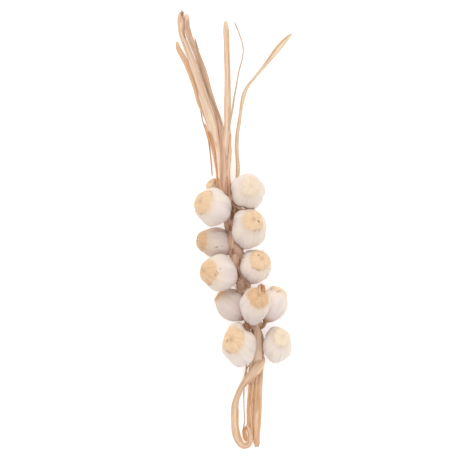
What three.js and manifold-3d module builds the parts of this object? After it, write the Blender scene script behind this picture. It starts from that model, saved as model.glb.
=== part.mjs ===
// A garlic braid: twelve dried garlic bulbs tied by their stems along a bundle of straw stalks.
// It lies on its back on a flat surface. Millimetres, +Z up; +Y runs along the braid towards the
// loose stalk ends and +X to the right of the shown side. The origin is on the surface, under the
// middle of the whole braid.
import * as THREE from 'three';
import { mergeVertices } from 'three/addons/utils/BufferGeometryUtils.js';
import Module from 'manifold-3d';

const wasm = await Module();
wasm.setup();

// ---- Driving dimensions ----
const GAP = 0.4; // clearance left between touching pieces
const FLAT_DEPTH = 0.5; // how much of a resting bulb is pressed flat
const CLOVE_DEPTH = 0.035; // groove between two cloves, as a share of the bulb's radius
const STEM_RADIUS = 2.6; // dried stem from a bulb's neck to the bundle
const STEM_RUN = 4; // how far a stem runs towards the tail before it joins the bundle
const BULB_SIDES = 14;
const BUNDLE_SIDES = 12;
const BUNDLE_STEPS = 26;
const BUNDLE_RIBS = 5; // stalks that show as ridges round the bundle
const RIB_DEPTH = 0.05; // ridge height as a share of the bundle's half width
const LEAF_SIDES = 8;
const THREAD_SIDES = 6;
const THREAD_RADIUS = 0.6;

// ---- Materials ----
const skin = new THREE.MeshStandardMaterial({ color: 0xe8dccb, roughness: 0.65, metalness: 0 });
const straw = new THREE.MeshStandardMaterial({ color: 0xd9b48f, roughness: 0.7, metalness: 0 });
const leaf = new THREE.MeshStandardMaterial({ color: 0xe6cba6, roughness: 0.7, metalness: 0 });
const thread = new THREE.MeshStandardMaterial({ color: 0xbfa58e, roughness: 0.8, metalness: 0 });

// ---- Solids ----
// A closed geometry as a manifold-3d solid.
function solidOf(geometry) {
  const bare = geometry.index ? geometry.toNonIndexed() : geometry.clone();
  bare.deleteAttribute('normal');
  bare.deleteAttribute('uv');
  const merged = mergeVertices(bare, 1e-3);
  const mesh = new wasm.Mesh({
    numProp: 3,
    vertProperties: merged.attributes.position.array,
    triVerts: new Uint32Array(merged.index.array),
  });
  return new wasm.Manifold(mesh);
}

function geometryOf(solid) {
  const { vertProperties, triVerts } = solid.getMesh();
  const geometry = new THREE.BufferGeometry();
  geometry.setAttribute('position', new THREE.BufferAttribute(vertProperties, 3));
  geometry.setIndex(new THREE.BufferAttribute(triVerts, 1));
  geometry.computeVertexNormals();
  return geometry;
}

// ---- Bulbs ----
// Radius and height along the axis, as shares of the bulb's radius: from the middle of the raised
// root cap, over its rim and the shoulder, to the dried neck.
const BULB_PROFILE = [
  [0, 1.08], [0.3, 1.06], [0.5, 1], [0.61, 0.88], [0.68, 0.76], [0.84, 0.54], [0.96, 0.27], [1, -0.02],
  [0.95, -0.32], [0.82, -0.6], [0.6, -0.86], [0.37, -1.03], [0.2, -1.14], [0.13, -1.25], [0, -1.27],
];

// at: the bulb's middle; root: the way its root cap faces; rests: it lies on the surface, so its
// height is worked out; long: its length against its width; tall: how far it is stretched along
// the braid; droop: how far its neck is bent towards the tail, as a share of its radius; run: how
// far towards the tail its stem goes before it joins the bundle, where that isn't STEM_RUN.
const BULBS = [
  { name: 'bulb_top_back', at: [-23, 49, 0], radius: 12,
    root: [-0.5, 0.75, 0.45], rests: true, long: 1, tall: 1, droop: 0.1, cloves: 5 },
  { name: 'bulb_left_1', at: [-25.6, 28, 43], radius: 22.2,
    root: [-0.62, 0.27, 0.74], long: 1, tall: 1.03, droop: 0.05, cloves: 6 },
  { name: 'bulb_left_2', at: [-22, -15, 0], radius: 18.8,
    root: [-0.93, 0.1, 0.35], rests: true, long: 1.2, tall: 1, droop: 0.1, cloves: 5 },
  { name: 'bulb_left_3', at: [-18, -52.5, 41], radius: 22,
    root: [-0.86, 0.12, 0.5], long: 0.95, tall: 1.03, droop: 0.15, cloves: 6 },
  { name: 'bulb_left_4', at: [-1.5, -93, 0], radius: 19.5,
    root: [-0.75, 0.62, -0.15], rests: true, long: 1.08, tall: 1, droop: 0, cloves: 5 },
  { name: 'bulb_left_5', at: [6.3, -142.5, 31], radius: 21.2,
    root: [-0.38, 0.32, 0.87], long: 1.05, tall: 1.18, droop: 0.2, cloves: 6 },
  { name: 'bulb_right_1', at: [17.7, 47.5, 36], radius: 21.3,
    root: [0.15, 0.28, 0.95], long: 1, tall: 1, droop: 0, cloves: 5 },
  { name: 'bulb_right_2', at: [18.8, 2.4, 38], radius: 21.6,
    root: [0.22, 0.38, 0.9], long: 1.05, tall: 1.1, droop: 0.3, cloves: 6 },
  { name: 'bulb_right_3', at: [26.2, -45, 29], radius: 19.7,
    root: [0.38, 0.42, 0.82], long: 1.05, tall: 1.05, droop: 0.12, cloves: 5 },
  { name: 'bulb_front', at: [26.3, -90, 51], radius: 18.7,
    root: [0.2, 0.45, 0.87], long: 1.12, tall: 1.05, droop: 0.55, cloves: 6 },
  { name: 'bulb_right_4', at: [48.3, -92.3, 0], radius: 17.8,
    root: [0.45, 0.85, -0.25], rests: true, long: 1.08, tall: 1.07, droop: 0, cloves: 5 },
  { name: 'bulb_right_5', at: [53, -141.5, 27], radius: 17.6,
    root: [0.25, 0.4, 0.88], long: 1.12, tall: 1.26, droop: 0.1, cloves: 5, run: -20 },
];

const TURN = 2.4; // radians between one bulb's roll and the next, so that no two match
const ROOT_AXIS = new THREE.Vector3(0, 1, 0);
const floorSlab = solidOf(new THREE.BoxGeometry(1000, 1000, 100).translate(0, 0, -50));

// A point of a bulb's own shape, in the braid. Its neck bends towards the tail.
function bulbPoint(bulb, turn, point) {
  const { at, radius, root, long, tall, droop } = bulb;
  const below = Math.min(0, point.y / (radius * long));
  const facing = new THREE.Vector3(...root).normalize();
  const rest = new THREE.Quaternion().setFromUnitVectors(ROOT_AXIS, facing);
  rest.multiply(new THREE.Quaternion().setFromAxisAngle(ROOT_AXIS, turn));
  const placed = point.clone().applyQuaternion(rest);
  placed.y = placed.y * tall - droop * radius * below * below;
  return placed.add(new THREE.Vector3(...at));
}

// A bulb with its cloves showing as shallow lobes; `grow` is added all round.
function bulbGeometry(bulb, turn, grow = 0) {
  const { radius, long, cloves } = bulb;
  const grown = 1 + grow / radius;
  const profile = BULB_PROFILE.map(([r, h]) => new THREE.Vector2(r * radius, h * radius * long));
  const geometry = new THREE.LatheGeometry(profile.reverse(), BULB_SIDES);
  const position = geometry.attributes.position;
  for (let i = 0; i < position.count; i += 1) {
    const point = new THREE.Vector3().fromBufferAttribute(position, i);
    const belly = Math.max(0, 1 - ((point.y / (radius * long) + 0.1) / 0.8) ** 2);
    const lobe = 1 + CLOVE_DEPTH * belly * Math.cos(cloves * Math.atan2(point.z, point.x));
    point.multiply(new THREE.Vector3(lobe * grown, grown, lobe * grown));
    position.setXYZ(i, ...bulbPoint(bulb, turn, point).toArray());
  }
  return geometry;
}

// The bulb's mesh in its place, a slightly larger solid that keeps its neighbours clear of it, and
// the end of its neck with the way that points.
function placeBulb(bulb, turn) {
  const placed = { ...bulb, at: [...bulb.at] };
  if (bulb.rests) {
    const loose = bulbGeometry(bulb, turn).attributes.position;
    placed.at[2] = -new THREE.Box3().setFromBufferAttribute(loose).min.z - FLAT_DEPTH;
  }
  const solid = solidOf(bulbGeometry(placed, turn)).subtract(floorSlab);
  const mesh = new THREE.Mesh(geometryOf(solid), skin);
  mesh.name = bulb.name;
  const tip = BULB_PROFILE[BULB_PROFILE.length - 1][1] * bulb.radius * bulb.long;
  const neck = bulbPoint(placed, turn, new THREE.Vector3(0, tip, 0));
  const down = neck.clone().sub(bulbPoint(placed, turn, new THREE.Vector3(0, tip * 0.85, 0))).normalize();
  const clearance = solidOf(bulbGeometry(placed, turn, 3 * GAP)).simplify(0.7);
  return { mesh, clearance, neck, down, run: bulb.run ?? STEM_RUN };
}

const bulbs = BULBS.map((bulb, i) => placeBulb(bulb, i * TURN));

// ---- Stalks ----
// A closed strand along a smooth line. Each station is [x, y, z, half width, half thickness, roll];
// the roll is about the line, in degrees.
function strandGeometry(stations, sides, steps, { grow = 0, ribs = 0 } = {}) {
  const line = new THREE.CatmullRomCurve3(stations.map(([x, y, z]) => new THREE.Vector3(x, y, z)));
  const size = new THREE.CatmullRomCurve3(
    stations.map(([, , , w, t, roll = 0]) => new THREE.Vector3(w, t, THREE.MathUtils.degToRad(roll))),
  );
  const up = new THREE.Vector3(0, 0, 1);
  const vertices = [];
  const faces = [];
  const ends = [
    line.getPoint(0).addScaledVector(line.getTangent(0), -grow),
    line.getPoint(1).addScaledVector(line.getTangent(1), grow),
  ];
  for (let i = 0; i <= steps; i += 1) {
    const t = i / steps;
    const tangent = line.getTangent(t);
    const centre = i === 0 ? ends[0] : i === steps ? ends[1] : line.getPoint(t);
    const { x: width, y: thickness, z: roll } = size.getPoint(t);
    const side = new THREE.Vector3().crossVectors(up, tangent).normalize().applyAxisAngle(tangent, roll);
    const normal = new THREE.Vector3().crossVectors(tangent, side);
    for (let j = 0; j < sides; j += 1) {
      const angle = (2 * Math.PI * j) / sides;
      const rib = 1 + (ribs ? RIB_DEPTH * Math.cos(ribs * angle + 6 * t) : 0);
      const point = centre.clone()
        .addScaledVector(side, (width + grow) * rib * Math.cos(angle))
        .addScaledVector(normal, (thickness + grow) * rib * Math.sin(angle));
      vertices.push(...point.toArray());
    }
  }
  vertices.push(...ends[0].toArray(), ...ends[1].toArray());
  const ring = (i, j) => i * sides + (j % sides);
  const [first, last] = [(steps + 1) * sides, (steps + 1) * sides + 1];
  for (let j = 0; j < sides; j += 1) {
    for (let i = 0; i < steps; i += 1) {
      faces.push(ring(i, j), ring(i, j + 1), ring(i + 1, j + 1));
      faces.push(ring(i, j), ring(i + 1, j + 1), ring(i + 1, j));
    }
    faces.push(first, ring(0, j + 1), ring(0, j), last, ring(steps, j), ring(steps, j + 1));
  }
  const geometry = new THREE.BufferGeometry();
  geometry.setAttribute('position', new THREE.Float32BufferAttribute(vertices, 3));
  geometry.setIndex(faces);
  return geometry;
}

// The bundle that all the stems are tied into, from the gathered stalks to the tail.
const BUNDLE = [
  [-18.6, 127.5, 7, 15.4, 5],
  [-16.2, 107.5, 9, 12.4, 5.5],
  [-14.8, 92.5, 12, 10.6, 6],
  [-13.8, 77.5, 17, 7.9, 6.5],
  [-13, 60, 24, 7.6, 7],
  [-6, 31, 26, 9, 8],
  [-1, 2.5, 24, 9, 8],
  [2.5, -27.5, 23, 9, 8],
  [10, -65, 24, 8.5, 8],
  [21, -97.5, 21, 7, 8],
  [27.5, -125, 15, 8.5, 6.5],
  [27, -150, 10, 9.8, 5.5],
  [26, -172.5, 7, 9.8, 5],
  [25.5, -187.5, 6, 9.5, 4.5],
];

// A bulb's dried stem: out of its neck, and into the nearest station of the bundle.
function stemSolid({ neck, down, run }) {
  const away = (station) => Math.abs(station[1] - (neck.y - run));
  const target = BUNDLE.reduce((best, station) => (away(station) < away(best) ? station : best));
  const join = new THREE.Vector3(...target.slice(0, 3));
  const start = neck.clone().addScaledVector(down, -STEM_RADIUS);
  const bend = neck.clone().addScaledVector(down, STEM_RADIUS).lerp(join, 0.25);
  const stations = [start, bend, join].map((p) => [p.x, p.y, p.z, STEM_RADIUS, STEM_RADIUS]);
  return solidOf(strandGeometry(stations, THREAD_SIDES, 3));
}

// What is left of a solid once the scraps cut off it are dropped.
function largestPiece(solid) {
  const pieces = solid.decompose();
  return pieces.reduce((largest, piece) => (piece.volume() > largest.volume() ? piece : largest));
}

function bundleSolid() {
  let solid = solidOf(strandGeometry(BUNDLE, BUNDLE_SIDES, BUNDLE_STEPS, { ribs: BUNDLE_RIBS }));
  for (const bulb of bulbs) solid = solid.add(stemSolid(bulb));
  for (const bulb of bulbs) solid = solid.subtract(bulb.clearance);
  return largestPiece(solid).simplify(0.1);
}

// The loose stalks, leaves and threads. Each runs into the bundle at its last station, or at its
// first one on the tail.
const LOOSE = [
  { name: 'stalk_left_long', material: straw, steps: 18, stations: [
    [-65, 275.5, 2.4, 0.7, 0.7], [-66.3, 268, 2.5, 2, 1.1], [-67, 258, 2.6, 2.8, 1.3],
    [-65.5, 245, 3, 3, 1.4], [-60, 231, 3.6, 3.2, 1.5], [-53, 212, 4.8, 4, 1.6],
    [-47.5, 197.5, 5.8, 4.4, 1.6], [-37.5, 167.5, 7, 4.4, 1.6],
    [-27, 137.5, 8.4, 4, 1.6], [-21, 115, 9, 3.5, 1.5]] },
  { name: 'stalk_left_inner', material: straw, steps: 18, stations: [
    [-58.5, 268, 2, 1.8, 1], [-57.5, 250, 2, 3, 1.4], [-50.5, 231, 2, 3.2, 1.4], [-45, 217, 2, 3.6, 1.5],
    [-38.8, 197.5, 2.1, 4.2, 1.6], [-30, 167.5, 2.6, 4.2, 1.6], [-20, 137.5, 4.6, 3.8, 1.6],
    [-12.5, 115, 7, 3.2, 1.5]] },
  { name: 'stalk_left_outer', material: straw, steps: 15, stations: [
    [-71, 234, 2, 2.2, 1.2], [-68.5, 225, 2, 2.8, 1.4], [-61, 211, 2, 3.2, 1.5],
    [-49.5, 182.5, 2, 3.2, 1.5], [-42, 157, 2, 3, 1.5], [-33.5, 140, 3, 3, 1.5],
    [-29, 118, 6.5, 2.8, 1.4]] },
  { name: 'stalk_middle', material: straw, steps: 12, stations: [
    [-10.5, 259, 1.8, 2.6, 1.1], [-9.5, 242, 1.8, 3.1, 1.3], [-8.5, 212, 1.8, 3.4, 1.4],
    [-8, 182, 1.8, 4, 1.6], [-8, 152, 2.8, 4.2, 1.7], [-8, 131, 5.6, 4, 1.6], [-9, 112, 8, 3.2, 1.5]] },
  { name: 'leaf_right', material: leaf, steps: 24, stations: [
    [72.5, 245, 2.2, 0.9, 0.8], [67, 239.5, 2.6, 2.2, 0.8], [56, 227.5, 2.8, 3.6, 0.9],
    [44, 212, 2.2, 2.6, 0.9], [31, 196, 1.6, 1.9, 0.9], [19.5, 182.5, 1.6, 1.5, 0.9],
    [12.5, 169, 2, 2.8, 0.9], [9, 152, 1.8, 1.8, 0.9], [6, 130, 1.8, 2, 0.9],
    [3.5, 112, 2, 2.4, 0.9], [4, 92, 3, 2.4, 0.9], [5, 72, 6, 2.4, 0.9],
    [2, 55, 11, 2.2, 0.9], [-4, 38, 20, 2, 0.9]] },
  { name: 'thread_top', material: thread, sides: THREAD_SIDES, steps: 15, stations: [
    [0, 261, 1, 0.9, THREAD_RADIUS], [7.5, 242, 1, 0.9, THREAD_RADIUS],
    [11.3, 227.5, 1.1, 0.9, THREAD_RADIUS], [10.5, 215, 1.2, 0.9, THREAD_RADIUS],
    [6, 197.5, 1.2, 1, THREAD_RADIUS], [3.5, 182.5, 1.4, 1, THREAD_RADIUS],
    [0.5, 167, 3, 1.1, THREAD_RADIUS], [-1.5, 152, 6.5, 1.2, THREAD_RADIUS],
    [-4, 138, 9, 1.2, THREAD_RADIUS], [-8, 122, 9.5, 1, THREAD_RADIUS]] },
  { name: 'thread_left', material: thread, sides: THREAD_SIDES, steps: 13, stations: [
    [-47, 163, 1, THREAD_RADIUS, THREAD_RADIUS], [-45, 149, 1, THREAD_RADIUS, THREAD_RADIUS],
    [-41, 137, 1, THREAD_RADIUS, THREAD_RADIUS], [-38.5, 124, 1, THREAD_RADIUS, THREAD_RADIUS],
    [-35, 108, 1.6, THREAD_RADIUS, THREAD_RADIUS], [-31, 92, 3.5, THREAD_RADIUS, THREAD_RADIUS],
    [-29.5, 77.5, 7, THREAD_RADIUS, THREAD_RADIUS], [-27, 66, 10, THREAD_RADIUS, THREAD_RADIUS]] },
  { name: 'tail_loop', material: straw, steps: 30, stations: [
    [28.5, -174, 6, 3.2, 1.3], [28, -179, 12.2, 3.4, 1.3], [24.5, -186, 13, 3.4, 1.3],
    [18.5, -193, 11, 3.4, 1.3], [11.5, -201.5, 6.6, 3.4, 1.3], [5, -211, 3, 3.6, 1.4],
    [1.5, -222.5, 2, 4.3, 1.4], [0.5, -237.5, 2, 4.5, 1.4], [2.3, -252, 2, 4.2, 1.4],
    [6.2, -263.5, 2, 3.9, 1.4], [12, -269.6, 2.2, 3.7, 1.4], [17.6, -268, 3.6, 3.4, 1.4],
    [20.5, -260, 5.8, 3.1, 1.3], [19.4, -251, 6.2, 2.5, 1.2], [16, -243.5, 5.8, 1.4, 1.1]] },
  { name: 'tail_middle', material: straw, steps: 12, stations: [
    [22, -181, 5.2, 3.6, 1.8], [21.5, -197.5, 4, 3.4, 1.9], [19.5, -212.5, 2.6, 2.8, 1.7],
    [19, -227.5, 2, 3.2, 1.6], [19.8, -242.5, 1.9, 3.1, 1.5], [21.8, -256, 1.7, 2.4, 1.3],
    [22.4, -264, 1.6, 1.8, 1.2]] },
  { name: 'tail_right', material: straw, steps: 12, stations: [
    [30, -181, 5.2, 3.8, 2], [30.6, -200, 4.6, 4, 2.2], [30.6, -219, 3.6, 4.2, 2.1],
    [29.6, -237.5, 2.8, 4, 2], [28.6, -255, 2.4, 3.6, 1.8], [28.4, -269.5, 2, 3.2, 1.4]] },
  { name: 'thread_tail', material: thread, sides: THREAD_SIDES, steps: 12, stations: [
    [20, -166, 6, THREAD_RADIUS, THREAD_RADIUS], [15, -175, 3.4, THREAD_RADIUS, THREAD_RADIUS],
    [13.6, -187.5, 1.2, THREAD_RADIUS, THREAD_RADIUS], [13.8, -206, 1, THREAD_RADIUS, THREAD_RADIUS],
    [14, -225, 1, THREAD_RADIUS, THREAD_RADIUS], [14, -237, 1, THREAD_RADIUS, THREAD_RADIUS],
    [12.6, -246, 1, THREAD_RADIUS, THREAD_RADIUS], [10.6, -253, 1, THREAD_RADIUS, THREAD_RADIUS]] },
];

// ---- Assembly ----
const braid = new THREE.Group();
braid.name = 'garlic_braid';
for (const { mesh } of bulbs) braid.add(mesh);

const bundle = bundleSolid();
const bundleMesh = new THREE.Mesh(geometryOf(bundle), straw);
bundleMesh.name = 'stalk_bundle';
braid.add(bundleMesh);

// What a loose strand keeps clear of: the bundle, the bulbs and the strands before it, each a gap
// larger all round. Where it runs into them it is cut off, and only its long part is kept.
let taken = solidOf(strandGeometry(BUNDLE, BUNDLE_SIDES, BUNDLE_STEPS, { grow: GAP, ribs: BUNDLE_RIBS }));
for (const bulb of bulbs) taken = taken.add(bulb.clearance);
for (const { name, material, sides = LEAF_SIDES, steps, stations } of LOOSE) {
  const solid = largestPiece(solidOf(strandGeometry(stations, sides, steps)).subtract(taken));
  const mesh = new THREE.Mesh(geometryOf(solid), material);
  mesh.name = name;
  braid.add(mesh);
  taken = taken.add(solidOf(strandGeometry(stations, sides, steps, { grow: GAP })));
}

// The origin goes to the middle of the whole braid, on the surface it lies on.
const extent = new THREE.Box3().setFromObject(braid);
const middle = extent.getCenter(new THREE.Vector3());
braid.position.set(-middle.x, -middle.y, -extent.min.z);

export default braid;
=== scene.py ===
"""A braid of dried garlic, lying with its shown side up, seen from straight above.

Papery bulbs with tan root caps, a bundle of straw stalks plaited between them, loose dry stalks at
one end and a looped tail at the other. Metres, in the part's own frame. Shapes are worked out in
millimetres and put in place by the part's own boxes.
"""

import itertools
import math

import bpy
import numpy as np
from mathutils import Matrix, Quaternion, Vector


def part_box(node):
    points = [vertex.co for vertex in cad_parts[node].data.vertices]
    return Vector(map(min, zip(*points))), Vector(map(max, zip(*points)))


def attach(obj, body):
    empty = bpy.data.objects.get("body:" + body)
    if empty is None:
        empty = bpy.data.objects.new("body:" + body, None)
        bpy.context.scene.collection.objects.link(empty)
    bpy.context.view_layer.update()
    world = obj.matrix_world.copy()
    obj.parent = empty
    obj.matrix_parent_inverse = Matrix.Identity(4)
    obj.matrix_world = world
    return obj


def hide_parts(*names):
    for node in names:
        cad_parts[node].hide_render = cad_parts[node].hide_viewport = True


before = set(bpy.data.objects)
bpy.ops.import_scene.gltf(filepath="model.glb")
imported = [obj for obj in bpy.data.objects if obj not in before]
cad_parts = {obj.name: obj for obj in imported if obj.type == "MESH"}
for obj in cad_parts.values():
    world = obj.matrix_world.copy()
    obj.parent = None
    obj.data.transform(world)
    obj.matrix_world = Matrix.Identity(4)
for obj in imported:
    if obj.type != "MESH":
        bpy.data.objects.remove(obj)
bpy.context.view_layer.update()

MM = 0.001
SCATTER = (73856093, 19349663, 83492791, 26544357, 1274126177)  # multipliers that scatter the noise
BULB_SEED, STALK_SEED = 7, 21

# ---- Camera ----
CAMERA_AT = (0.0044, -0.0105, 2.6)
LENS_MM = 158.0

# ---- Stage ----
FLOOR_HALF = 3.0
FLOOR_DROP = 0.0004  # the floor is a hair below the braid, so that nothing is coplanar with it
LIGHTS = [("key", (-0.8, 2.1, 2.4), 2.25, 36), ("fill", (0.9, -0.6, 1.8), 2.2, 9.5)]  # at, size, power

# ---- Bulbs: the sizes their solids are made from ----
# Radius and height along the axis, as shares of the bulb's radius, from the root cap to the neck.
BULB_PROFILE = [
    (0, 1.08), (0.3, 1.06), (0.5, 1), (0.61, 0.88), (0.68, 0.76), (0.84, 0.54), (0.96, 0.27), (1, -0.02),
    (0.95, -0.32), (0.82, -0.6), (0.6, -0.86), (0.37, -1.03), (0.2, -1.14), (0.13, -1.25), (0, -1.27),
]
CLOVE_DEPTH = 0.035
TURN = 2.4  # radians between one bulb's roll and the next
RINGS, SEGMENTS = 110, 150

# The skin's unevenness, in radii: between cloves, all over, lengthwise, at the neck, on the root cap.
GROOVE_DEPTH, LUMPS, DIMPLES, RIBS, FINE_RIBS = 0.034, 0.026, 0.006, 0.006, 0.0035
NECK_PLEATS, PLEAT_DEPTH = 19, 0.022
CAP_RISE, CRUMPLE, CAP_RAYS, RIM_CURL = 0.012, 0.011, 0.009, 0.022

# Loose strips of skin on each bulb, and the points along one and across half of it. Root stubs:
# where they start, in radii, and how thick they are, in mm, at shares of their length.
PEELS, PEEL_ROWS, PEEL_HALF = 8, 34, 9
PEEL_THICKNESS = 0.16  # mm
PEEL_NUMBER = 0.31  # added to the bulb's own number, so that a strip's colours are not the skin's
ROOT_STUBS, ROOT_HEIGHT = 26, 1.05
ROOT_TAPER = [(-0.2, 0.34), (0.35, 0.3), (0.75, 0.24), (1, 0.1)]

# root: the way the root cap faces. long, tall, droop: as in the part. cap: its width as a share of
# the radius. tone: how tan it is, from cream to orange. The painted shade: how far the whole skin is
# darkened, for a bulb that lies back in the shadow of its neighbours. bulge: a clove
# that stands out: the way it faces, its size and its height, in radii. run: how far towards the tail
# its stem goes before it joins the bundle. marks: dark specks as (x, y from the bulb's middle, half
# length, half width, degrees, strength), in mm, seen from above.
PLAIN_BULB = dict(long=1, tall=1, droop=0, painted_shade=0, cloves=5, run=4, marks=[])
BULBS = {
    "bulb_top_back": dict(radius=12, root=(-0.5, 0.75, 0.45), tall=1.14, droop=0.1, cap=0.66, tone=0.6,
        marks=[(-3, 5, 1.4, 0.7, 30, 0.6)]),
    "bulb_left_1": dict(radius=22.2, root=(-0.62, 0.27, 0.74), tall=1.03, droop=0.05, painted_shade=0.04, cloves=6,
        cap=0.66, tone=0.5, marks=[(-5.6, -19.2, 2, 0.7, 15, 0.35)]),
    "bulb_left_2": dict(radius=18.8, root=(-0.93, 0.1, 0.35), long=1.2, droop=0.1, cap=0.74, tone=0.62,
        painted_shade=0.27, marks=[(0.5, -6, 2.8, 0.7, 18, 0.8), (7.2, -4.6, 1.2, 0.9, 0, 0.75),
        (-17, 1, 0.5, 4, 0, 0.3)]),
    "bulb_left_3": dict(radius=22, root=(-0.86, 0.12, 0.5), long=0.95, tall=1.03, droop=0.15, painted_shade=0.05,
        cloves=6, cap=0.72, tone=0.62, marks=[(1.4, 4.4, 1.3, 1.1, 30, 0.6)]),
    "bulb_left_4": dict(radius=19.5, root=(-0.75, 0.62, -0.15), long=1.08, cap=0.64, tone=0.8, painted_shade=0.2),
    "bulb_left_5": dict(radius=21.2, root=(-0.38, 0.32, 0.87), long=1.05, tall=1.18, droop=0.2, cloves=6,
        bulge=(-0.2, 0.94, 0.2, 0.5, 0.14), cap=0.62, tone=0.5, marks=[(-14.4, 6.5, 4.2, 1, 72, 0.55),
        (-9, -5.5, 5, 0.6, 8, 0.3)]),
    "bulb_right_1": dict(radius=21.3, root=(0.15, 0.28, 0.95), tall=1.04, painted_shade=0.05, cap=0.5, tone=0.02),
    "bulb_right_2": dict(radius=21.6, root=(0.22, 0.38, 0.9), long=1.05, tall=1.1, droop=0.3,
        bulge=(-0.62, 0.68, 0.4, 0.42, 0.085), cloves=6, painted_shade=0.06, cap=0.6, tone=0.4, marks=[
        (11.5, 8, 2.1, 0.8, -55, 0.9), (-3.2, -10.7, 2.6, 0.7, 50, 0.4)]),
    "bulb_right_3": dict(radius=19.7, root=(0.38, 0.42, 0.82), long=1.05, tall=1.05, droop=0.12, cap=0.68,
        tone=0.45, marks=[(4, 13.8, 1, 1, 0, 0.9), (11.6, 0.9, 1, 0.9, 0, 0.6),
        (17, -2.6, 2.2, 0.6, -60, 0.6)]),
    "bulb_front": dict(radius=18.7, root=(0.2, 0.45, 0.87), long=1.12, tall=1.05, droop=0.55, cloves=6,
        painted_shade=0.08, cap=0.7, tone=0.72, marks=[(1.8, 6.3, 1.2, 0.9, 20, 0.6), (6.3, -6.5, 4, 0.6, 5, 0.35)]),
    "bulb_right_4": dict(radius=17.8, root=(0.42, 0.88, -0.06), long=1.08, tall=1.07, cap=0.66, tone=0.35),
    "bulb_right_5": dict(radius=17.6, root=(0.25, 0.4, 0.88), long=1.12, tall=1.26, droop=0.1, run=-20,
        cap=0.56, tone=0.08, marks=[(4.5, 1.2, 3.2, 0.6, 0, 0.5), (4.4, -2.4, 0.9, 0.8, 0, 0.3)]),
}

# ---- Stalks: the part's own lines, in its working frame ----
MIDDLE = np.array([0.0, 1.12, 0.0])  # where the part's origin is in that frame, mm

# Stations of the bundle: x, y, z, half width, half thickness.
BUNDLE = [
    (-18.6, 127.5, 7, 15.4, 5), (-16.2, 107.5, 9, 12.4, 5.5), (-14.8, 92.5, 12, 10.6, 6),
    (-13.8, 77.5, 17, 7.9, 6.5), (-13, 60, 24, 7.6, 7), (-6, 31, 26, 9, 8), (-1, 2.5, 24, 9, 8),
    (2.5, -27.5, 23, 9, 8), (10, -65, 24, 8.5, 8), (21, -97.5, 21, 7, 8), (27.5, -125, 15, 8.3, 6.5),
    (27.4, -150, 10, 8.4, 5.5), (27.2, -172.5, 7, 8, 5), (27, -179.5, 6.5, 7.4, 4.5),
]
BUNDLE_RADIUS = 9
PLIES, PLY_STRIPS = 3, 11
PITCH = 88.0  # length of one full crossing of a ply
PLAIT_FROM, PLAIT_TO, PLAIT_BLEND = 40.0, -128.0, 12.0  # where along Y the stalks are plaited
CORE_SHARE, CORE_RINGS, CORE_SIDES = 0.62, 90, 20  # the core's share of the bundle's width, its grid
STEM_STRIPS = 4  # strips in the stem of each bulb

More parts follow.
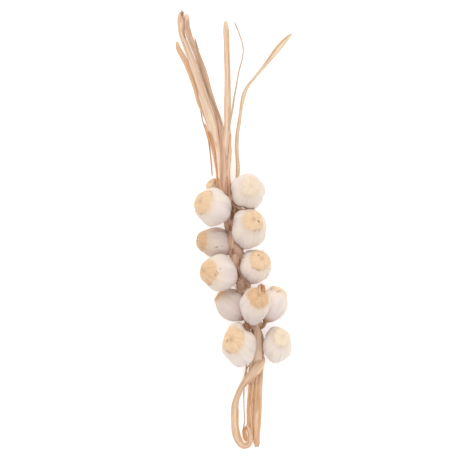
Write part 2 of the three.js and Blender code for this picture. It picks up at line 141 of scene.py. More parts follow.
# Stations of each loose strand: x, y, z, half width. After the part's own ends they run on over
# the bundle, as the real stalks do.
PLAIN_STALK = dict(pink=0, brown=0, tip=0.2)
STRANDS = {
    "stalk_left_long": dict(tone=0.22, pink=0.25, tip=-0.2, stations=[(-65.2, 272, 2.4, 3.4),
        (-66, 266, 2.5, 4), (-66.2, 258, 2.6, 4), (-65.2, 245, 3, 3.8), (-60, 231, 3.6, 3.7),
        (-53, 212, 4.8, 4.4), (-47.5, 197.5, 5.8, 4.8), (-37.5, 167.5, 7.6, 4.8), (-27, 137.5, 10.4, 4.4),
        (-23, 118, 14, 4), (-19, 97, 17.5, 3.6), (-17, 78, 23.5, 3.2)]),
    "stalk_left_inner": dict(tone=0.25, pink=0.75, brown=0.1, tip=-0.4, stations=[(-58.8, 269, 2, 3.2),
        (-57.8, 250, 2, 3.7), (-51, 231, 2, 3.8), (-45, 217, 2.1, 3.8), (-38.8, 197.5, 2.4, 4.6),
        (-30, 167.5, 3.4, 4.6), (-20, 137.5, 7.4, 4.2), (-15, 118, 12.5, 3.8), (-14, 97, 17.6, 3.4),
        (-13, 80, 23, 3)]),
    "stalk_left_outer": dict(tone=0.66, pink=0.05, tip=-0.25, stations=[(-71, 234, 2, 2.2),
        (-68.5, 225, 2, 3), (-61, 211, 2, 3.4), (-49.5, 182.5, 2.2, 3.5), (-42, 157, 2.4, 3.4),
        (-33.5, 140, 3.6, 3.2), (-27, 118, 12, 3), (-22, 98, 17, 2.8), (-19.5, 82, 21, 2.4)]),
    "stalk_middle": dict(tone=0.08, pink=0.3, tip=-0.2, stations=[(-10.5, 259.5, 1.8, 3.4),
        (-9.5, 242, 1.8, 3.6), (-8.5, 212, 1.8, 3.8), (-8, 182, 1.9, 4.2), (-8, 152, 3.4, 4.3),
        (-8, 131, 9, 4.2), (-9.5, 112, 14.5, 3.6), (-11, 92, 18.5, 3.2)]),
    "leaf_right": dict(tone=0.05, tip=-0.1, stations=[(72.5, 245, 2.2, 1.3), (67, 239.5, 2.6, 2.7),
        (56, 227.5, 2.8, 3.8), (44, 212, 2.2, 2.8), (31, 196, 1.6, 1.9), (19.5, 182.5, 1.6, 1.6),
        (12.5, 169, 2, 2.8), (9, 152, 1.8, 1.9), (6, 130, 1.8, 2.1), (3.5, 112, 2, 2.4), (4, 92, 3, 2.4),
        (5, 72, 6, 2.4), (2, 55, 11, 2.2), (-2, 42, 17, 2)]),
    "thread_top": dict(tone=0.1, pink=0.2, stations=[(0, 261, 1, 0.8), (7.5, 242, 1, 0.9),
        (11.3, 227.5, 1.1, 0.9), (10.5, 215, 1.2, 0.9), (6, 197.5, 1.2, 1), (3.5, 182.5, 1.4, 1),
        (0.5, 167, 3, 1.1), (-1.5, 152, 6.5, 1.2), (-4, 138, 10.5, 1.2), (-7, 122, 13, 1)]),
    "thread_left": dict(tone=0.3, pink=0.5, brown=0.28, stations=[(-43, 163, 1, 0.6),
        (-41.4, 149, 1.2, 0.8), (-39, 136, 1.4, 0.8), (-35, 123, 2, 0.8), (-31.5, 110, 3, 0.8),
        (-29.4, 94, 4, 0.8), (-28, 80, 6.5, 0.8), (-27, 66, 10, 0.7)]),
    "tail_loop": dict(tone=0.36, pink=0.06, stations=[(36.5, -158.5, 13, 2.6), (32.6, -166.4, 15.8, 5.4),
        (27, -173.8, 16.6, 6.7), (20.9, -181, 14.6, 5.9), (15.1, -187.4, 11.6, 4.8),
        (9.4, -195.4, 7.8, 3.6), (5, -205, 4.6, 3.6), (2.4, -213.5, 3, 4.1), (1.1, -223, 2.4, 4.7),
        (0.9, -237.5, 2.4, 4.9), (2.2, -252, 2.4, 4.9), (6.2, -263, 2.5, 4.6), (12, -268.8, 2.6, 4.3),
        (17.6, -267, 4, 4), (20.3, -260, 6, 3.5), (19.2, -251, 6.4, 2.8), (16, -243.5, 6, 1.5)]),
    "tail_middle": dict(tone=0.8, stations=[(22, -172, 7, 3.8), (21.5, -197.5, 4, 3.8),
        (19.8, -212.5, 2.6, 3.4), (19.2, -227.5, 2, 3.5), (19.8, -242.5, 1.9, 3.4), (21.8, -256, 1.7, 2.5),
        (22.4, -264, 1.6, 1.8)]),
    "tail_right": dict(tone=0.6, pink=0.1, stations=[(30.5, -160, 11, 4.4), (30.6, -178, 7, 4.6),
        (30.4, -200, 4.8, 4.7), (30.2, -219, 3.8, 4.8), (29.3, -237.5, 3, 4.5), (28.4, -255, 2.5, 4.1),
        (28.2, -269.8, 2.2, 3.7)]),
    "thread_tail": dict(tone=0.3, pink=0.6, brown=0.45, stations=[(20, -166, 8, 0.6), (15, -175, 3.4, 0.6),
        (13, -187.5, 1.2, 0.6), (12.4, -206, 1, 0.6), (12.6, -225, 1, 0.6), (13, -237, 1, 0.6),
        (12, -246, 1, 0.7), (10.2, -253, 1, 0.6)]),
}

# Narrower strips split from a loose stalk: how far to its side, from where to where along it, and
# how wide, as shares of its own width and length.
OFFSHOOTS = [
    (-0.62, 0.03, 0.96, 0.36), (0.6, 0.08, 1, 0.34), (0.05, 0.02, 0.7, 0.3), (-0.2, 0.25, 0.95, 0.2),
]
OFFSHOOT_RISE = 0.75  # mm over the stalk's own line

# Torn strips on the loose stalks: tone, brown, and stations x, y, z, half width.
SPLITS = {
    "stalk_left_long": [
        (0.9, 0.4, [(-64.6, 268, 3.4, 1), (-62.8, 258, 3.6, 1.3), (-62.6, 247, 4, 1.2),
            (-60.6, 239, 4.6, 0.8)]),
        (0.3, 0.65, [(-65.8, 266, 5.6, 1), (-65.2, 270.5, 5, 1.9), (-64.4, 274.6, 4, 1.1)]),
        (0.4, 0.5, [(-64, 266.5, 5.4, 0.8), (-63, 270.5, 5, 1.2), (-61.8, 272.6, 4.4, 0.7)]),
    ],
    "stalk_left_inner": [
        (0.4, 0.6, [(-49.4, 241, 4, 0.6), (-45.2, 226, 4.2, 0.9), (-41.4, 206.5, 4.6, 1),
            (-33.6, 179, 5.6, 0.9), (-24.6, 156, 7.4, 0.8), (-14.2, 129, 13, 0.7)]),
        (0.3, 0.4, [(-57, 262, 4, 0.6), (-55, 240, 4.2, 0.9), (-47.6, 215, 4.4, 0.8), (-41, 197, 5, 0.6)]),
    ],
}

# Broad strips of dry leaf that wrap the bundle where it is open: tone, pink, brown, curl, and
# stations x, y, z, half width.
WRAPS = {
    "sheath_left": (0, 0.2, 0, 0.7, [(-43.5, 178, 5, 2.4), (-39.5, 165, 6, 3.8), (-33, 147.5, 7.5, 4.8),
        (-26.5, 127.5, 12, 4.6), (-21.2, 106, 16.5, 3.8), (-18, 81, 23, 2.8), (-16.6, 56, 31, 2.4),
        (-14.5, 40, 33.5, 2.2)]),
    "sheath_middle": (0.3, 0.85, 0.14, 0.6, [(-23, 150, 6, 1.6), (-19, 136, 9, 3.4), (-16.4, 121, 13, 4.4),
        (-14.6, 100, 18, 4.2), (-13.6, 75, 25.5, 4), (-13, 52.5, 32, 3.8), (-11, 36, 34, 3.2)]),
    "sheath_right": (0.5, 0.3, 0, 0.9, [(-7.2, 146, 4.5, 2), (-6, 119, 11, 1.9), (-5.6, 100, 15, 1.6),
        (-6.4, 81, 21, 1.6), (-8, 62, 28, 1.9), (-9.4, 45, 32, 2.2)]),
    "roll_left": (1, 0, 0.06, 1.5, [(-36.5, 133, 5, 0.9), (-32.2, 118, 11, 1.7), (-27.6, 105, 15, 2),
        (-24, 90, 18.5, 1.7), (-21, 72, 23.5, 1.4), (-20, 55, 29.5, 1.5), (-18, 42, 32, 1.4)]),
    "roll_inner": (1, 0, 0.3, 1.5, [(-31, 124, 12.5, 0.6), (-27.2, 112, 16, 1.2), (-24.4, 100, 18, 1.3),
        (-22, 86, 21, 0.9)]),
    "streak_middle": (0.8, 0.3, 0.3, 1.2, [(-21.5, 146, 9, 0.5), (-18.4, 132, 13.6, 0.8),
        (-16.8, 112, 18.5, 0.9), (-16, 88, 24, 0.8), (-15.6, 66, 30, 0.9), (-14.5, 50, 33.5, 0.8)]),
    "base_left": (1, 0, 0.12, 1.1, [(-19.4, 66, 28, 0.7), (-17.6, 57, 32, 1.6), (-15.4, 49, 33.5, 2),
        (-13, 41, 34, 1.6)]),
    "base_right": (1, 0.1, 0.25, 1.1, [(-8.6, 68, 29, 0.7), (-8.6, 58, 32.5, 1.4), (-9.6, 48, 34, 1.8),
        (-10, 38, 34, 1.4)]),
    "tail_cover": (0.2, 0.35, 0, 0.45, [(26.5, -112, 26, 3), (28.6, -128, 24, 4.4), (29.2, -146, 19, 5.4),
        (28.8, -157, 15.8, 6.4), (27.6, -167, 13.6, 7.4), (26.8, -173, 12.6, 7), (26.6, -178.5, 11.4, 5)]),
    "tail_curl": (1, 0, 0.2, 1.2, [(15.2, -243, 3.6, 1), (13.6, -249, 4.6, 2), (13.2, -255, 5.4, 2.6),
        (15, -260.5, 5.6, 2.6), (18.5, -263.5, 5.2, 1.8)]),
    "tail_side": (0.5, 0.5, 0.25, 1.1, [(18.2, -150, 13, 1.2), (16.2, -161, 11.5, 1),
        (15.3, -171, 9.5, 0.9), (14.9, -181, 8, 0.9), (15.6, -192, 5, 0.8)]),
    "tail_gap": (0.85, 0, 0.15, 1.1, [(25, -196, 3.4, 1.6), (24.6, -216, 2.4, 1.2), (24.8, -232, 2, 1.7),
        (25, -250, 1.8, 1.6), (25.2, -266, 1.6, 1)]),
    "tail_inner": (0.3, 0.5, 0, 0.8, [(22.5, -128, 21.5, 2), (23, -146, 17, 3), (23, -160, 14, 3.6),
        (22.5, -175, 10.5, 3.6), (22.5, -192, 6.8, 2.4)]),
    "tail_edge": (0.35, 0.45, 0, 1, [(34.8, -132, 18, 1.4), (34.8, -150, 13.5, 1.8), (34.4, -170, 10, 2),
        (33.6, -190, 7, 2.2), (32.6, -210, 5, 1.8)]),
}

# Short strings between and on the bulbs: tone, brown, and stations x, y, z, half width.
STRINGS = [
    (0.2, 0.15, [(-2, -119, 36, 0.4), (4, -116.5, 39, 0.6), (10, -116.5, 38, 0.6), (15, -119.5, 35, 0.5)]),
    (0.3, 0.4, [(0, -121, 39, 0.3), (5, -119.6, 41, 0.5), (10, -120, 40, 0.6), (15, -121.5, 35, 0.4)]),
    # These two are dark brown strings in the gap between the front bulb and the last two: partly real
    # strings, partly painted shade of that gap.
    (1, 0.9, [(13.4, -110.5, 40, 1.2), (15.4, -115.5, 42.5, 2.6), (17, -120.5, 42, 2.7),
        (20, -126, 37, 1.6)]),
    (1, 0.6, [(11, -114, 38, 0.8), (14.6, -118.5, 40.5, 1.4), (18, -122.5, 38, 1.5), (22, -129, 30, 1)]),
    (0.8, 0.05, [(29, -80, 67, 1.8), (29.8, -73, 67, 2.8), (30.6, -67, 64.5, 2)]),
    (0.7, 0.05, [(33, -81, 68.5, 2), (33.2, -73, 69, 3.4), (33, -65.4, 66.5, 2.4)]),
    (0.95, 0.1, [(36.6, -79.5, 67, 1.6), (36.2, -72.5, 67, 2.4), (35.8, -67, 64, 1.6)]),
    (1, 0.5, [(33.4, -75, 70, 0.9), (34, -70.5, 70.5, 1.6), (33.8, -66, 68.5, 1.3)]),
    (0.2, 0.1, [(26, -31, 42, 0.3), (31, -29, 45, 0.4), (35, -26.5, 45, 0.4), (38, -22, 42, 0.3)]),
    # These three are brown strings in the gap between the first two bulbs on the right: partly real
    # strings, partly painted shade of that gap.
    (0.3, 0.7, [(-4, 35, 38, 0.7), (0, 29.5, 41, 0.9), (7, 26, 43, 1.1), (15, 24.6, 45, 0.9),
        (24, 24, 46, 0.5)]),
    (0.4, 0.72, [(1, 25, 38, 0.9), (8, 23.5, 42, 1.3), (15, 22.5, 44, 1), (21, 23, 45, 0.5)]),
    (0.6, 0.65, [(-1, 18, 37, 1), (4, 17, 40, 1.3), (9, 18.5, 43, 1.1), (14, 22, 45, 0.7)]),
    (0.9, 0.3, [(-2, 36, 36, 0.8), (0.5, 28, 39, 1.2), (1.5, 20, 38, 1.2), (2, 11, 36, 1)]),
]

# Fine broken fibres caught between the bulbs: where they are, how far they spread along X and Y,
# how many there are, and their tone and brown.
TANGLES = [
    # The first lies between the first two bulbs on the right: real fibres whose brown is also painted shade
    # of that gap.
    ((6.5, 20.5, 38), (5, 2.6), 46, 0.25, 0.6),
    ((-2, 31, 36), (1.4, 4), 12, 0.3, 0.4),
    ((6.5, -118, 37), (5, 1.6), 16, 0.1, 0.3),
    ((5, -71, 34), (3.5, 2.4), 16, 0.2, 0.3),
    ((14, -33, 36), (4, 2), 10, 0.3, 0.4),
]


# ---- Numbers ----
def smoothstep(low, high, value):
    """value's way from low to high, from 0 to 1, eased at both ends."""
    blend = np.clip((value - low) / (high - low), 0, 1)
    return blend * blend * (3 - 2 * blend)


def noise(points, seed=0):
    """Smooth noise from -1 to 1 at points of shape (..., 3)."""
    cell = np.floor(points).astype(np.int64)
    blend = points - cell
    blend = blend * blend * (3 - 2 * blend)
    total = np.zeros(points.shape[:-1])
    for corner in itertools.product((0, 1), repeat=3):
        x, y, z = np.moveaxis(cell + np.array(corner), -1, 0)
        mixed = (x * SCATTER[0]) ^ (y * SCATTER[1]) ^ (z * SCATTER[2]) ^ (seed * SCATTER[3])
        mixed = ((mixed ^ (mixed >> 13)) * SCATTER[4]) & 0xFFFFFFFF
        value = ((mixed ^ (mixed >> 16)) & 0xFFFF) / 32767.5 - 1
        total += np.prod(np.where(corner, blend, 1 - blend), axis=-1) * value
    return total


def together(*values):
    """Values side by side along a last axis, each spread to the shape they share."""
    return np.stack(np.broadcast_arrays(*values), axis=-1)


def noise_at(x, y, z, seed):
    """Smooth noise from -1 to 1 at points given by their three coordinates."""
    return noise(together(x, y, z), seed)


def noise_along(values, seed):
    """Smooth noise from -1 to 1 along a line."""
    return noise_at(values, 0.37, 0.71, seed)


def spline(points, t):
    """Points along a smooth line through the given ones, for t from 0 to 1."""
    points = np.asarray(points, float)
    padded = np.vstack([2 * points[0] - points[1], points, 2 * points[-1] - points[-2]])
    at = np.clip(t, 0, 1) * (len(points) - 1)
    index = np.minimum(at.astype(int), len(points) - 2)
    f = (at - index)[..., None]
    a, b, c, d = (padded[index + k] for k in range(4))
    return 0.5 * (2 * b + (c - a) * f + (2 * a - 5 * b + 4 * c - d) * f**2 + (3 * b - a - 3 * c + d) * f**3)


def path_length(line):
    """How far along a line each of its points is, as a column."""
    return np.cumsum(np.linalg.norm(np.diff(line, axis=0, prepend=line[:1]), axis=1))[:, None]


def even_steps(points, count):
    """Values of t that split a smooth line into steps of equal length."""
    fine = np.linspace(0, 1, 600)
    length = path_length(spline(points, fine))[:, 0]
    return np.interp(np.linspace(0, length[-1], count), length, fine)


def unit(vectors):
    return vectors / np.linalg.norm(vectors, axis=-1, keepdims=True)


def directions(line):
    """The ways along, sideways from and up from a line, at each of its points."""
    tangent = unit(np.gradient(line, axis=0))
    side = unit(np.cross([0, 0, 1], tangent))
    return tangent, side, np.cross(tangent, side)


def turns(count):
    """Angles once round, in equal steps."""
    return np.linspace(0, 2 * math.pi, count, endpoint=False)


# ---- Meshes ----
def grid_faces(rows, columns):
    """Quads of a grid of points, closed round its columns."""
    row, column = np.meshgrid(np.arange(rows - 1), np.arange(columns), indexing="ij")
    start, beside = row * columns, (column + 1) % columns
    quads = [start + column, start + beside, start + columns + beside, start + columns + column]
    return list(np.stack(quads, axis=-1).reshape(-1, 4))


def tube_faces(rows, columns):
    """The same grid's quads, with a face over each end."""
    ends = range(columns - 1, -1, -1), range((rows - 1) * columns, rows * columns)
    return grid_faces(rows, columns) + [tuple(end) for end in ends]


class Pile:
    """Shapes that are joined into one mesh, with what the materials read at each point: its place
    in the shape's own terms, its looks, which each material explains, and how shaded it lies."""

    def __init__(self):
        self.points, self.faces, self.place, self.looks, self.shade, self.count = [], [], [], [], [], 0

    def add(self, points, faces, place, looks, shade=0.0):
        """Add a grid of points. The last three are given for each point, or once for all."""
        grid = points.shape[:-1]
        self.points.append(points.reshape(-1, 3))
        self.faces.extend([tuple(int(i) + self.count for i in face) for face in faces])
        self.place.append(np.broadcast_to(place, (*grid, 3)).reshape(-1, 3))
        self.looks.append(np.broadcast_to(looks, (*grid, 4)).reshape(-1, 4))
        self.shade.append(np.broadcast_to(shade, grid).ravel())
        self.count += math.prod(grid)

    def build(self, name, material, nodes):
        """Make the piece, in metres, standing for these CAD nodes."""
        mesh = bpy.data.meshes.new(name)
        points = np.vstack(self.points) * MM
        points[:, 2] = np.maximum(points[:, 2], 0)
        mesh.from_pydata(points.tolist(), [], self.faces)
        for key, kind, field, values in (
            ("place", "FLOAT_VECTOR", "vector", self.place),
            ("looks", "FLOAT_COLOR", "color", self.looks),
            ("shade", "FLOAT", "value", self.shade),
        ):
            attribute = mesh.attributes.new(key, kind, "POINT")
            attribute.data.foreach_set(field, np.concatenate(values).ravel())
        mesh.shade_smooth()
        mesh.materials.append(material)
        piece = bpy.data.objects.new(name, mesh)
        bpy.context.scene.collection.objects.link(piece)
        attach(piece, "root")
        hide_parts(*nodes)


# ---- Materials ----
def srgb(code):
    """A colour from its usual six digits, as linear RGBA."""
    channels = [((code >> shift) & 255) / 255 for shift in (16, 8, 0)]
    return (*(c / 12.92 if c <= 0.04045 else ((c + 0.055) / 1.055) ** 2.4 for c in channels), 1)


class Shader:
    """A material's nodes, added from left to right."""

    def __init__(self, name, roughness, specular):
        self.material = bpy.data.materials.new(name)
        self.material.use_nodes = True
        self.tree = self.material.node_tree
        self.surface = self.tree.nodes["Principled BSDF"]
        self.surface.inputs["Roughness"].default_value = roughness
        self.surface.inputs["Specular IOR Level"].default_value = specular

    def fill(self, sockets, values):
        """Set each socket to its value, or link it if that is another node's output."""
        for socket, value in zip(sockets, values):
            if isinstance(value, bpy.types.NodeSocket):
                self.tree.links.new(value, socket)
            else:
                socket.default_value = value

    def node(self, kind, links=(), **values):
        node = self.tree.nodes.new(kind)
        for key, value in values.items():
            if key in node.inputs:
                node.inputs[key].default_value = value
            else:
                setattr(node, key, value)
        for key, output in dict(links).items():
            self.tree.links.new(output, node.inputs[key])
        return node

    def attribute(self, name):
        return self.node("ShaderNodeAttribute", attribute_name=name)

    def noise(self, vector, scale, detail=3.0, roughness=0.5):
        node = self.node("ShaderNodeTexNoise", {"Vector": vector}, Scale=scale, Detail=detail,
                         Roughness=roughness)
        return node.outputs["Fac"]

    def vector(self, operation, *values):
        node = self.node("ShaderNodeVectorMath", operation=operation)
        self.fill(node.inputs, values)
        return node.outputs["Vector"]

    def math(self, operation, a, b):
        node = self.node("ShaderNodeMath", operation=operation)
        self.fill(node.inputs, (a, b))
        return node.outputs[0]

    def between(self, value, low, high, out_low=0.0, out_high=1.0):
        """value's way from low to high, smoothed, as a number between the other two."""
        node = self.node("ShaderNodeMapRange", {"Value": value}, interpolation_type="SMOOTHSTEP")
        ends = {"From Min": low, "From Max": high, "To Min": out_low, "To Max": out_high}
        self.fill([node.inputs[key] for key in ends], ends.values())
        return node.outputs["Result"]

    def mix(self, factor, a, b, blend="MIX"):
        node = self.node("ShaderNodeMix", data_type="RGBA", blend_type=blend)
        self.fill((node.inputs["Factor"], node.inputs[6], node.inputs[7]), (factor, a, b))
        return node.outputs[2]

    def layers(self, colour, *layers):
        """A colour with others laid over it. Each has what it follows, where that starts and
        where it is full, and how much of the colour there is then."""
        for tint, value, start, full, most in layers:
            colour = self.mix(self.between(value, start, full, 0.0, most), colour, tint)
        return colour

    def finish(self, colour, height, strength, bump_mm):
        self.tree.links.new(colour, self.surface.inputs["Base Color"])
        bump = self.node("ShaderNodeBump", {"Height": height}, Strength=strength, Distance=bump_mm * MM)
        self.tree.links.new(bump.outputs["Normal"], self.surface.inputs["Normal"])
        return self.material


SKIN_CREAM, SKIN_PINK, SKIN_VEIN, SKIN_SHADE_TINT = map(srgb, (0xEFE3D6, 0xE9DCDA, 0xCFB49E, 0xA98468))
CAP_CREAM, CAP_TAN, CAP_ORANGE, CAP_BROWN = map(srgb, (0xEFDDC6, 0xEBCAA2, 0xDAA674, 0xA06E45))
NECK_TAN, SPECK, WHITE = srgb(0xC9A27C), srgb(0x5B3F2C), (1.0, 1.0, 1.0, 1.0)


def skin_material():
    """Papery garlic skin. place: the point in the bulb, in radii, root cap towards +Y.
    looks: how far in from the cap's edge (0.5 is the edge), how far it is a speck, how tan its cap
    is, and a number per bulb. shade: how far it is darkened as painted shade, close to its neighbours."""
    shader = Shader("garlic_skin", roughness=0.6, specular=0.3)
    place = shader.attribute("place").outputs["Vector"]
    looks = shader.attribute("looks")
    channels = shader.node("ShaderNodeSeparateColor", {"Color": looks.outputs["Color"]}).outputs
    cap_depth, marked, tone = channels["Red"], channels["Green"], channels["Blue"]
    height = shader.node("ShaderNodeSeparateXYZ", {"Vector": place}).outputs["Y"]
    number = looks.outputs["Alpha"]
    shift = shader.node("ShaderNodeCombineXYZ", {axis: number for axis in "XYZ"}).outputs["Vector"]
    own = shader.vector("ADD", place, shader.vector("MULTIPLY", shift, (37, 11, 23)))
    round_it = shader.vector("NORMALIZE", shader.vector("MULTIPLY", place, (1, 0, 1)))
    round_it = shader.vector("ADD", round_it, shader.vector("MULTIPLY", own, (0.03, 0.05, 0.03)))

    streaks = shader.noise(round_it, 6, detail=4, roughness=0.6)
    veins = shader.noise(round_it, 17, detail=2)
    blotches = shader.noise(own, 1.5)
    mottle = shader.noise(own, 7, detail=4, roughness=0.6)
    fine = shader.noise(own, 30)

    inward = shader.math("ADD", cap_depth, shader.between(mottle, 0.3, 0.7, -0.09, 0.09))
    # Pinker towards the neck: painted shade on the side of the bulb that faces away from the light.
    skin = shader.layers(
        SKIN_CREAM, (SKIN_PINK, height, 0.5, -0.9, 1), (SKIN_PINK, blotches, 0.4, 0.65, 0.5),
        (SKIN_VEIN, streaks, 0.52, 0.75, 0.28), (SKIN_VEIN, veins, 0.6, 0.72, 0.16),
        (SKIN_VEIN, fine, 0.68, 0.8, 0.3), (NECK_TAN, height, -0.8, -1.15, 1),
        (CAP_TAN, inward, 0.12, 0.5, 0.32))
    cap = shader.layers(
        CAP_CREAM, (CAP_TAN, tone, 0, 0.5, 1), (CAP_ORANGE, tone, 0.4, 1, 1),
        (CAP_CREAM, mottle, 0.4, 0.66, 0.45), (CAP_ORANGE, streaks, 0.5, 0.75, 0.5))
    browned = shader.math("MULTIPLY", tone, shader.between(veins, 0.56, 0.7, 0.0, 0.4))
    cap = shader.mix(browned, cap, CAP_BROWN)
    root_plate = shader.math("ADD", cap_depth, shader.between(fine, 0.3, 0.7, -0.1, 0.1))
    cap = shader.layers(cap, (CAP_BROWN, root_plate, 1.2, 1.42, 0.22))
    colour = shader.mix(shader.between(inward, 0.44, 0.58), skin, cap)
    # A brown line on parts of the cap's edge: partly the cap's own browner edge, partly a painted shadow
    # line under its raised rim.
    rim = shader.math("MULTIPLY", shader.between(inward, 0.44, 0.52), shader.between(inward, 0.6, 0.52))
    patchy = shader.math("MULTIPLY", rim, shader.between(blotches, 0.5, 0.64, 0.0, 0.6))
    brown_edge_and_shadow = shader.math("MULTIPLY", patchy, shader.between(tone, 0, 0.5, 0.3, 1.0))
    colour = shader.mix(brown_edge_and_shadow, colour, CAP_BROWN)

    # Painted shade: the skin is darkened where it lies close to other bulbs or the stalks, and on bulbs
    # that lie back.
    painted_shade = shader.mix(shader.attribute("shade").outputs["Fac"], WHITE, SKIN_SHADE_TINT)
    colour = shader.mix(1.0, colour, painted_shade, blend="MULTIPLY")
    speck = shader.math("ADD", marked, shader.between(mottle, 0.3, 0.7, -0.15, 0.15))
    colour = shader.layers(colour, (SPECK, speck, 0.2, 0.75, 0.85))
    inputs = shader.surface.inputs
    inputs["Subsurface Weight"].default_value = 0.1
    inputs["Subsurface Radius"].default_value = (1.0, 0.6, 0.4)
    inputs["Subsurface Scale"].default_value = 0.003
    relief = shader.math("ADD", streaks, shader.math("MULTIPLY", veins, 0.6))
    relief = shader.math("ADD", relief, shader.math("MULTIPLY", mottle, 0.8))
    return shader.finish(colour, relief, strength=0.45, bump_mm=0.5)


STRAW_PALE, STRAW_TAN, STRAW_ORANGE = srgb(0xFBE6CE), srgb(0xEFC59D), srgb(0xDD9F68)
STRAW_PINK, STRAW_BROWN = srgb(0xDDB7A3), srgb(0x80563C)


def straw_material(name, pale):
    """Dry stalk and leaf. place: mm across, mm along, and a number per strand.
    looks: how tan it is, how pink and how brown; pink and brown also carry the painted shade laid on
    between the bulbs, in creases and on the core."""
    shader = Shader(name, roughness=0.72, specular=0.22)
    place = shader.attribute("place").outputs["Vector"]
    looks = shader.attribute("looks").outputs["Color"]
    channels = shader.node("ShaderNodeSeparateColor", {"Color": looks}).outputs
    tan, pink, brown = channels["Red"], channels["Green"], channels["Blue"]

    def grain(scale, detail, roughness=0.5):
        return shader.noise(shader.vector("MULTIPLY", place, scale), 1.0, detail, roughness)

    fibres = grain((1.7, 0.03, 7.3), 5, 0.65)
    streaks = grain((0.55, 0.012, 5.1), 2)
    broad = grain((0.25, 0.03, 3.1), 2)
    flecks = grain((1.2, 0.25, 2.3), 3)
    hairs = grain((5.5, 0.07, 9.1), 3, 0.6)

    colour = shader.layers(pale, (STRAW_TAN, tan, 0, 0.6, 1), (STRAW_ORANGE, tan, 0.5, 1, 1))
    colour = shader.mix(pink, colour, STRAW_PINK)
    colour = shader.layers(
        colour, (pale, broad, 0.4, 0.7, 0.4), (STRAW_ORANGE, streaks, 0.5, 0.68, 0.5),
        (STRAW_ORANGE, fibres, 0.55, 0.78, 0.5), (pale, fibres, 0.45, 0.25, 0.45),
        (STRAW_BROWN, hairs, 0.54, 0.72, 0.24), (pale, hairs, 0.45, 0.28, 0.4),
        (STRAW_BROWN, flecks, 0.68, 0.8, 0.45))
    # This brown is the strand's own brown and the painted shade together.
    browned = shader.math("MULTIPLY", brown, shader.between(fibres, 0.3, 0.6, 0.6, 1.0))
    colour = shader.mix(browned, colour, STRAW_BROWN)
    relief = shader.math("ADD", fibres, shader.math("MULTIPLY", hairs, 0.7))
    return shader.finish(colour, relief, strength=0.7, bump_mm=0.6)


